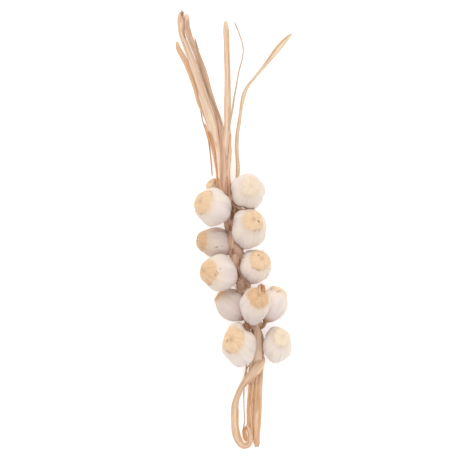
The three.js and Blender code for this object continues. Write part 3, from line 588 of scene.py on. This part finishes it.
# ---- Bulbs ----
class Bulb:
    """One bulb's surface: from an angle and a way down its profile to a point in the braid, mm."""

    def __init__(self, index, name):
        self.index, self.name = index, name
        self.facts = {**PLAIN_BULB, **BULBS[name]}
        root = Vector(self.facts["root"]).normalized()
        turned = Vector((0, 1, 0)).rotation_difference(root) @ Quaternion((0, 1, 0), self.index * TURN)
        self.rotation = np.array(turned.to_matrix())
        self.steps = even_steps(BULB_PROFILE, RINGS)
        self.middle = np.zeros(3)
        angle, way = np.meshgrid(np.linspace(0, 2 * math.pi, 60), np.linspace(0, 1, 60))
        shape = self.surface(angle, way, rough=False)
        low, high = (np.array(corner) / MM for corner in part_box(name))
        self.middle = (low + high) / 2 - (shape.min((0, 1)) + shape.max((0, 1))) / 2
        self.middle[2] = high[2] - shape[..., 2].max()

    def profile(self, way):
        t = np.interp(way, np.linspace(0, 1, RINGS), self.steps)
        return spline(BULB_PROFILE, t)

    def inward(self, angle, reach, height):
        """0.5 on the root cap's uneven edge, more inside it, less outside."""
        x, y, z = 1.3 * np.cos(angle), 1.3 * np.sin(angle), 3.7 * self.index
        uneven = 0.14 * noise_at(x, y, z, 5) + 0.05 * noise_at(3.3 * x, 3.3 * y, 3.3 * z, 6)
        edge = self.facts["cap"] * (1 + uneven)
        return np.where(height > 0.1, np.maximum(0.5 + 1.5 * (edge - reach), 0), 0)

    def relief(self, angle, reach, height):
        """How far the uneven skin stands off the plain shape, in radii."""
        seed = 11 * self.index
        around = together(np.cos(angle) * reach, height, np.sin(angle) * reach)
        along = together(np.cos(angle), 0.1 * height, np.sin(angle))
        wander = 0.5 * np.sin(2 * angle + self.index) + 0.3 * np.sin(3 * angle + 2.1 * self.index)
        groove = (0.5 - 0.5 * np.cos(self.facts["cloves"] * angle + wander)) ** 9
        body = smoothstep(0.86, 0.5, height) * smoothstep(-1.05, -0.5, height)
        out = -GROOVE_DEPTH * groove * body * (0.7 + 0.5 * noise(around * 1.1, seed + 7))
        out += LUMPS * noise(around * 1.3 + 5, seed) + DIMPLES * noise(around * 3.6, seed + 1)
        out += body * (RIBS * noise(along * 4.5, seed + 2) + FINE_RIBS * noise(along * 11, seed + 6))
        pleats = np.cos(NECK_PLEATS * angle + 2.5 * noise(along * 2, seed + 3))
        out += PLEAT_DEPTH * pleats * smoothstep(-0.45, -1.0, height) * np.minimum(reach, 0.4)
        inward = self.inward(angle, reach, height)
        cap = smoothstep(0.46, 0.54, inward)
        rim = smoothstep(0.4, 0.52, inward) * smoothstep(0.78, 0.54, inward)
        crumple = noise(around * 5.5, seed + 4)
        rays = noise(along * 6, seed + 5) * smoothstep(0.04, 0.3, reach)
        out += cap * (CAP_RISE + CRUMPLE * crumple + CAP_RAYS * rays)
        out += rim * RIM_CURL * np.clip(noise(along * 1.9, seed + 8) + 0.35, 0, 1)
        if "bulge" in self.facts:
            *facing, size, tall = self.facts["bulge"]
            skin = together(np.sin(angle) * reach, height, np.cos(angle) * reach)
            off = np.linalg.norm(skin - unit(self.rotation.T @ np.array(facing)), axis=-1)
            out += tall * smoothstep(size * 1.25, size * 0.45, off)
        return out

    def local(self, angle, way, rough=True, lift=0.0):
        """The point in the bulb's own terms, in radii. lift: how far it is off the skin, in mm."""
        reach, height = np.moveaxis(self.profile(way), -1, 0)
        reach = np.maximum(reach, 0)
        slope = self.profile(np.minimum(way + 1e-3, 1)) - self.profile(np.maximum(way - 1e-3, 0))
        slope /= np.maximum(np.linalg.norm(slope, axis=-1, keepdims=True), 1e-9)
        belly = np.clip(1 - ((height + 0.1) / 0.8) ** 2, 0, 1)
        lobe = 1 + CLOVE_DEPTH * belly * np.cos(self.facts["cloves"] * angle)
        push = lift / self.facts["radius"] + (self.relief(angle, reach, height) if rough else 0)
        reach = reach * lobe - push * slope[..., 1]
        height = height + push * slope[..., 0]
        return together(reach * np.sin(angle), height, reach * np.cos(angle))

    def place_point(self, local):
        """A point in the bulb's own terms, in the braid."""
        facts = self.facts
        scaled = local * facts["radius"] * np.array([1, facts["long"], 1])
        below = np.minimum(0, local[..., 1])
        placed = scaled @ self.rotation.T
        placed[..., 1] = placed[..., 1] * facts["tall"] - facts["droop"] * facts["radius"] * below**2
        return placed + self.middle

    def surface(self, angle, way, rough=True, lift=0.0):
        return self.place_point(self.local(angle, way, rough, lift))

    def marks(self, points):
        """How far each point is a dark speck."""
        share = np.zeros(points.shape[:-1])
        for x, y, half_length, half_width, degrees, strength in self.facts["marks"]:
            dx, dy = points[..., 0] - self.middle[0] - x, points[..., 1] - self.middle[1] - y
            cos, sin = math.cos(math.radians(degrees)), math.sin(math.radians(degrees))
            along, across = dx * cos + dy * sin, dy * cos - dx * sin
            spot = strength * np.exp(-((along / half_length) ** 2) - (across / half_width) ** 2)
            share = np.maximum(share, spot * (points[..., 2] > self.middle[2]))
        return share

    def looks(self, angle, way, points):
        """What the skin's material reads at each point: see skin_material."""
        reach, height = np.moveaxis(self.profile(way), -1, 0)
        inward, own = self.inward(angle, reach, height), (self.index + 0.5) / len(BULBS)
        return together(inward, self.marks(points), self.facts["tone"], own)

    def shade(self, points, others):
        """How far each point is darkened as painted shade: where it lies against another bulb or the
        stalks, and on bulbs that lie back.
        """
        near = np.full(points.shape[:-1], float(self.facts["painted_shade"]))
        for other in others:
            if other is not self:
                gap = np.linalg.norm(points - other.middle, axis=-1) - other.facts["radius"]
                near = np.maximum(near, 0.7 * smoothstep(6, -1, gap))
        stalks = BundleLine(60).centre - MIDDLE
        for at in stalks[(stalks[:, 1] < 70) & (stalks[:, 1] > -150)]:
            gap = np.linalg.norm(points - at, axis=-1) - BUNDLE_RADIUS
            near = np.maximum(near, 0.6 * smoothstep(7, 0, gap))
        return near

    def add_to(self, pile, others):
        angle, way = np.meshgrid(turns(SEGMENTS), np.linspace(0, 1, RINGS))
        points = self.surface(angle, way)
        pile.add(points, grid_faces(RINGS, SEGMENTS), self.local(angle, way, rough=False),
                 self.looks(angle, way, points), self.shade(points, others))

    def neck(self):
        """The end of the neck, and the way it points."""
        end = self.surface(np.array([0.0]), np.array([1.0]), rough=False)[0]
        before = self.place_point(np.array([[0.0, -1.05, 0.0]]))[0]
        return end, unit(end - before)


def add_peel(pile, bulb, others, at, start, end, width, lift, seed):
    """A loose strip of papery skin down the side of a bulb, torn along its edges, which stand off.
    at, width: in radians round the bulb. start, end: ways down its profile. lift: in mm."""
    along = np.linspace(0, 1, PEEL_ROWS)[:, None]
    u = np.concatenate([np.linspace(-1, 1, PEEL_HALF), np.linspace(1, -1, PEEL_HALF)])
    sheet = np.repeat([PEEL_THICKNESS, 0], PEEL_HALF)
    taper = smoothstep(0, 0.45, along) * smoothstep(1, 0.4, along)
    uneven = 1 + 0.45 * noise_along(along * 6, seed) + 0.2 * noise_along(along * 19, seed + 1)
    torn = np.maximum(taper * uneven, 0.01)
    drift = 0.5 * width * noise_along(along * 2.5, seed + 2)
    angle = at + drift + width * u * torn
    way = np.broadcast_to(start + (end - start) * along, angle.shape)
    lean = 0.5 + 0.5 * np.where(u > 0, noise_along(along * 4, seed + 3), noise_along(along * 4, seed + 4))
    stands = lift * np.abs(u) ** 3 * lean * taper
    base = bulb.surface(angle, way)
    out = bulb.surface(angle, way, lift=1.0) - base
    points = base + out * (0.02 + sheet + stands)[..., None]
    looks = bulb.looks(angle, way, points)
    looks[..., 3] += PEEL_NUMBER
    # The strip takes a share of the bulb's painted shade.
    pile.add(points, tube_faces(PEEL_ROWS, 2 * PEEL_HALF), bulb.local(angle, way, rough=False), looks,
             0.7 * bulb.shade(points, others))


def add_roots(pile, bulb, rng):
    """The cut stubs of dried roots round the middle of the root cap."""
    sides = turns(5)[:, None]
    for _ in range(ROOT_STUBS):
        angle, reach = rng.uniform(0, 2 * math.pi), rng.uniform(0.03, 0.17)
        start = bulb.place_point(np.array([reach * math.sin(angle), ROOT_HEIGHT, reach * math.cos(angle)]))
        spread = rng.uniform(0.6, 1.6)
        far = np.array([reach * spread * math.sin(angle + 0.4), ROOT_HEIGHT + rng.uniform(0.03, 0.08),
                        reach * spread * math.cos(angle + 0.4)])
        tip = bulb.place_point(far)
        axis = unit(tip - start)
        side = unit(np.cross(axis, [0.3, 0.5, 0.81]))
        up = np.cross(axis, side)
        circle = np.cos(sides) * side + np.sin(sides) * up
        points = np.array([
            start + (tip - start) * share + 0.3 * math.sin(share * 3) * up + thick * circle
            for share, thick in ROOT_TAPER])
        pile.add(points, tube_faces(*points.shape[:2]), far, (1.0, 0.0, bulb.facts["tone"], 0.5))


# ---- Strands ----
def ribbon(pile, rng, stations, tone, steps=70, around=12, thickness=0.4, curl=0.8, twist=25,
           ridge=0.25, pleats=2.2, pink=0.0, brown=0.0, ragged=0.12, blunt=0.35, inside=1.0, tip=0.22):
    """A dry, curled strip of stalk along its stations. curl: how far its section bends, in radians;
    twist: how far it rolls about its line, in degrees; ridge and pleats: the height and number of
    its lengthwise folds; ragged: how uneven its width is; blunt: how wide its ends stay; inside:
    how much painted shade, pinker and browner, it gets between the bulbs; tip: how brown its ends are, or
    how pale if below 0. Its down-folded creases are browned as painted shade too."""
    stations = np.asarray(stations, float)
    seed = int(rng.integers(1, 10**6))
    line = spline(stations, even_steps(stations[:, :3], steps))
    centre, half = line[:, :3], np.maximum(line[:, 3:], 0.15)
    length = path_length(centre)
    half = half * (1 + ragged * (noise_along(length / 14, seed) + 0.4 * noise_along(length / 4, seed + 1)))
    ends = np.minimum(length, length[-1] - length)
    half = half * (blunt + (1 - blunt) * smoothstep(0, 5, ends))
    tangent, side, normal = directions(centre)
    roll = np.radians(twist) * noise_along(length / 38, seed + 2)
    side, normal = side * np.cos(roll) + normal * np.sin(roll), normal * np.cos(roll) - side * np.sin(roll)

    u, v = np.cos(turns(around)), np.sin(turns(around))
    bend = np.clip(curl * (0.75 + 0.5 * noise_along(length / 30, seed + 3)), 0.05, 1.4)
    half = half * bend / np.sin(bend)
    strand = seed % 97
    folds = noise_at(u * pleats, length / 26, strand, seed + 4)
    thick = np.minimum(thickness, 0.6 * half)
    across = half * np.sin(u * bend) / bend + thick * v * np.sin(u * bend)
    up = half * (np.cos(u * bend) - np.cos(bend * 0.6)) / bend + thick * v * np.cos(u * bend)
    up = up + np.minimum(ridge, 0.25 * half) * folds
    points = centre[:, None] + across[..., None] * side[:, None] + up[..., None] * normal[:, None]
    outward = np.sign(length - length[-1] / 2) * smoothstep(5, 0, ends) * np.minimum(half, 2.5)
    torn = 0.6 * noise_at(u * 2.8 + 3, 0 * outward, strand, seed + 9)
    points = points + (torn * outward)[..., None] * tangent[:, None] - MIDDLE
    place = together(u * half, length, strand)

    tips = smoothstep(8, 0, ends)
    drift = 0.22 * noise_along(length / 40, seed + 5)
    # Painted shade: pinker and browner between the bulbs, where the plait lies in their shadow, and browner
    # in the down-folded creases.
    shade_between_bulbs = inside * smoothstep(66, 44, points[..., 1]) * smoothstep(-142, -122, points[..., 1])
    crease_shade = 0.2 * np.clip(folds, -1, 0) ** 2
    tan = np.clip(tone + drift + min(tip, 0) * tips, 0, 1)
    pink = np.clip(pink + 0.45 * shade_between_bulbs + 2 * min(tip, 0) * pink * tips, 0, 1)
    brown = np.clip(brown + max(tip, -brown) * tips + crease_shade + 0.12 * shade_between_bulbs, 0, 0.95)
    pile.add(points, tube_faces(steps, around), place, together(tan, pink, brown, 1.0))


def beside(stations, share, start, end):
    """Stations a share of the width beside a strand's own and just over it, on part of its length."""
    line = spline(stations, np.linspace(start, end, max(6, int(14 * (end - start)))))
    _, side, _ = directions(line[:, :3])
    line[:, :3] += side * (share * line[:, 3:]) + np.array([0, 0, OFFSHOOT_RISE])
    return line


def add_stalk(pile, name, rng):
    """A loose dry stalk: a wide curled strip with narrower ones split from it."""
    facts = {**PLAIN_STALK, **STRANDS[name]}
    ribbon(pile, rng, **facts, steps=120, around=18, curl=0.9, twist=22, ridge=0.55, pleats=3, blunt=0.75)
    for share, start, end, width in OFFSHOOTS:
        line = beside(facts["stations"], share, start, end)
        line[:, :3] += np.array([0.1, 0, 0.25]) * rng.normal(size=(len(line), 1))
        line[:, 3] *= width
        tone, brown = facts["tone"] + rng.uniform(-0.25, 0.3), facts["brown"] + rng.uniform(0, 0.2)
        pink = np.clip(facts["pink"] + rng.uniform(-0.3, 0.4), 0, 1)
        ribbon(pile, rng, line, tone, steps=90, around=10, curl=1.1, twist=35, brown=brown, pink=pink,
               tip=facts["tip"])
    for tone, brown, stations in SPLITS.get(name, []):
        ribbon(pile, rng, stations, tone, steps=80, around=8, curl=1.1, twist=40, brown=brown, ragged=0.3)


class BundleLine:
    """The bundle's line, with its sideways and upward directions and its size at each point."""

    def __init__(self, count):
        stations = np.asarray(BUNDLE, float)
        line = spline(stations, even_steps(stations[:, :3], count))
        self.centre, self.half_width, self.half_thick = line[:, :3], line[:, 3:4], line[:, 4:]
        _, self.side, self.normal = directions(self.centre)
        self.length = path_length(self.centre)

    def route(self, a, b):
        """The line at shares a of the half width and b of the half thickness."""
        return self.centre + self.side * (a * self.half_width) + self.normal * (b * self.half_thick)


def add_bundle_strips(pile, rng):
    """Plies of curled strips, crossing over one another between the bulbs."""
    line = BundleLine(60)
    y = line.centre[:, 1:2]
    plaited = smoothstep(PLAIT_FROM + PLAIT_BLEND, PLAIT_FROM - PLAIT_BLEND, y)
    plaited = plaited * smoothstep(PLAIT_TO - PLAIT_BLEND, PLAIT_TO + PLAIT_BLEND, y)
    for ply, strip in itertools.product(range(PLIES), range(PLY_STRIPS)):
        phase = 2 * math.pi * (line.length / PITCH + ply / PLIES)
        turn, far = 2 * math.pi * (strip / PLY_STRIPS + rng.uniform(-0.04, 0.04)), rng.uniform(0.75, 1)
        plait_a = 0.56 * np.sin(phase) + 0.4 * far * math.cos(turn)
        plait_b = 0.5 * np.sin(2 * phase) + 0.45 * far * math.sin(turn)
        share = (ply * PLY_STRIPS + strip) / (PLIES * PLY_STRIPS)
        open_turn = 2 * math.pi * share + rng.uniform(-0.05, 0.05)
        wander = 0.05 * noise_along(line.length / 30, 100 * ply + strip)
        open_reach = 0.84 - 0.26 * (strip % 2)
        a = plaited * plait_a + (1 - plaited) * (open_reach * math.cos(open_turn) + wander)
        b = plaited * plait_b + (1 - plaited) * (open_reach * math.sin(open_turn) + wander)
        first, last = int(rng.integers(0, 5)), len(y) - int(rng.integers(0, 8))
        width = rng.uniform(1.6, 2.9) * (0.75 + 0.35 * line.half_width / 12)
        stations = np.hstack([line.route(a, b), width])[first:last]
        ribbon(pile, rng, stations, rng.uniform(0.1, 0.8), steps=124, around=10, thickness=0.5, curl=1.2,
               twist=20, pink=rng.uniform(0.1, 0.7), brown=rng.uniform(0, 0.15), blunt=0.12)


def add_wraps(pile, rng):
    """The broad dry leaves over the open ends of the bundle."""
    for tone, pink, brown, curl, stations in WRAPS.values():
        ribbon(pile, rng, stations, tone, steps=84, around=20, thickness=0.3, curl=curl, twist=8,
               ridge=0.6, pleats=4.5, pink=pink, brown=brown, ragged=0.1, blunt=0.2)


def add_stems(pile, bulbs, rng):
    """The dried stems from the bulbs' necks into the bundle."""
    line = BundleLine(200)
    for bulb in bulbs:
        end, down = bulb.neck()
        end = end + MIDDLE
        join = line.centre[np.argmin(np.abs(line.centre[:, 1] - (end[1] - bulb.facts["run"])))]
        start = end - down * 5
        bend = (end + down * 2.5) * 0.75 + join * 0.25
        for _ in range(STEM_STRIPS):
            jitter = rng.normal(size=3) * 0.9
            route = [start + jitter * 0.3, end + jitter * 0.4, bend + jitter, join + jitter]
            ribbon(pile, rng, np.column_stack([route, [1.6, 2, 2, 1.6]]), rng.uniform(0.3, 0.8), steps=24,
                   around=10, thickness=0.6, curl=1.3, pink=0.4, brown=rng.uniform(0, 0.4))


def add_strings(pile, rng):
    """Each short string, with a thinner one close beside it."""
    for tone, brown, stations in STRINGS:
        for strand in range(2):
            line = np.array(stations, float)
            line[:, :3] += rng.normal(size=(len(line), 3)) * 0.5 * strand
            line[:, 3] *= 1 - 0.35 * strand
            ribbon(pile, rng, line, tone, steps=30, around=8, thickness=0.3, curl=1.2, twist=50,
                   brown=brown + 0.1 * strand, blunt=0.5, inside=0.15)


def add_tangles(pile, rng):
    for middle, spread, count, tone, brown in TANGLES:
        for _ in range(count):
            at = np.array(middle) + rng.normal(size=3) * np.array([*spread, 2])
            heading, size, rise = rng.uniform(-0.7, 0.7), rng.uniform(2.5, 6), rng.uniform(-0.3, 0.3)
            reach = size * np.array([math.cos(heading), math.sin(heading), rise])
            route = [at - reach, at + rng.normal(size=3), at + reach]
            ribbon(pile, rng, np.column_stack([route, [0.25, 0.45, 0.25]]), tone + rng.uniform(-0.2, 0.3),
                   steps=14, around=6, thickness=0.25, curl=0.6, twist=60,
                   brown=brown + rng.uniform(-0.15, 0.2), inside=0.15)


def add_core(pile):
    """The core of the bundle, seen only between the strips, coloured dark brown as painted shade of the
    bundle's shadowed middle.
    """
    line = BundleLine(CORE_RINGS)
    angle = turns(CORE_SIDES)
    a, b = CORE_SHARE * np.cos(angle), CORE_SHARE * np.sin(angle)
    points = np.stack([line.route(*at) for at in zip(a, b)], axis=1) - MIDDLE
    place = together(angle * 3, line.length, 3)
    pile.add(points, tube_faces(CORE_RINGS, CORE_SIDES), place, (0.9, 0.5, 0.75, 1.0))


# ---- The pieces ----
def build_bulbs(material):
    rng = np.random.default_rng(BULB_SEED)
    bulbs = [Bulb(index, name) for index, name in enumerate(BULBS)]
    for bulb in bulbs:
        pile = Pile()
        bulb.add_to(pile, bulbs)
        add_roots(pile, bulb, rng)
        for peel in range(PEELS):
            at = 2 * math.pi * (peel + rng.uniform(-0.3, 0.3)) / PEELS
            start = rng.uniform(0.2, 0.5)
            add_peel(pile, bulb, bulbs, at, start, start + rng.uniform(0.28, 0.48), rng.uniform(0.04, 0.11),
                     rng.uniform(0.1, 0.4), 1000 * bulb.index + 10 * peel)
        pile.build(bulb.name + "_skin", material, [bulb.name])
    return bulbs


def build_stalks(straw, pale, thread, bulbs):
    rng = np.random.default_rng(STALK_SEED)
    pile = Pile()
    add_core(pile)
    add_bundle_strips(pile, rng)
    add_wraps(pile, rng)
    add_stems(pile, bulbs, rng)
    add_strings(pile, rng)
    add_tangles(pile, rng)
    pile.build("plaited_bundle", straw, ["stalk_bundle"])
    for name in STRANDS:
        pile = Pile()
        if name.startswith("thread"):
            ribbon(pile, rng, **STRANDS[name], steps=90, around=8, thickness=0.45, curl=0.5, twist=60,
                   ridge=0.1)
            pile.build(name + "_fibre", thread, [name])
            continue
        add_stalk(pile, name, rng)
        if name == "leaf_right":
            pile.build(name + "_strip", pale, [name])
        else:
            pile.build(name + "_strips", straw, [name])


def floor_material():
    shader = Shader("pale_floor", roughness=0.9, specular=0.5)
    inputs = shader.surface.inputs
    inputs["Base Color"].default_value = (0.9, 0.9, 0.9, 1)
    inputs["Emission Color"].default_value = WHITE
    inputs["Emission Strength"].default_value = 0.4
    return shader.material


def build_stage():
    """A pale floor, and soft light from everywhere with more of it from the top end."""
    scene = bpy.context.scene
    mesh = bpy.data.meshes.new("floor")
    corners = [(-1, -1), (1, -1), (1, 1), (-1, 1)]
    corners = [(x * FLOOR_HALF, y * FLOOR_HALF, -FLOOR_DROP) for x, y in corners]
    mesh.from_pydata(corners, [], [(0, 1, 2, 3)])
    mesh.materials.append(floor_material())
    floor = bpy.data.objects.new("floor", mesh)
    scene.collection.objects.link(floor)

    world = bpy.data.worlds.new("studio")
    world.use_nodes = True
    background = world.node_tree.nodes["Background"].inputs
    background["Color"].default_value = (1, 0.99, 0.98, 1)
    background["Strength"].default_value = 0.72
    scene.world = world
    for name, at, size, power in LIGHTS:
        light = bpy.data.lights.new(name, "AREA")
        light.size = size
        light.energy = power
        lamp = bpy.data.objects.new(name, light)
        lamp.location = at
        lamp.rotation_euler = (-Vector(at)).to_track_quat("-Z", "Y").to_euler()
        scene.collection.objects.link(lamp)


def build_camera():
    scene = bpy.context.scene
    data = bpy.data.cameras.new("camera")
    data.lens = LENS_MM
    data.sensor_width = 36
    camera = bpy.data.objects.new("camera", data)
    camera.location = CAMERA_AT
    scene.collection.objects.link(camera)
    scene.camera = camera
    scene.view_settings.view_transform = "Standard"


skin = skin_material()
straw = straw_material("dry_straw", STRAW_PALE)
pale = straw_material("pale_leaf", srgb(0xFBEACB))
thread = straw_material("grey_thread", srgb(0xCDB9A0))
bulbs = build_bulbs(skin)
build_stalks(straw, pale, thread, bulbs)
build_stage()
build_camera()
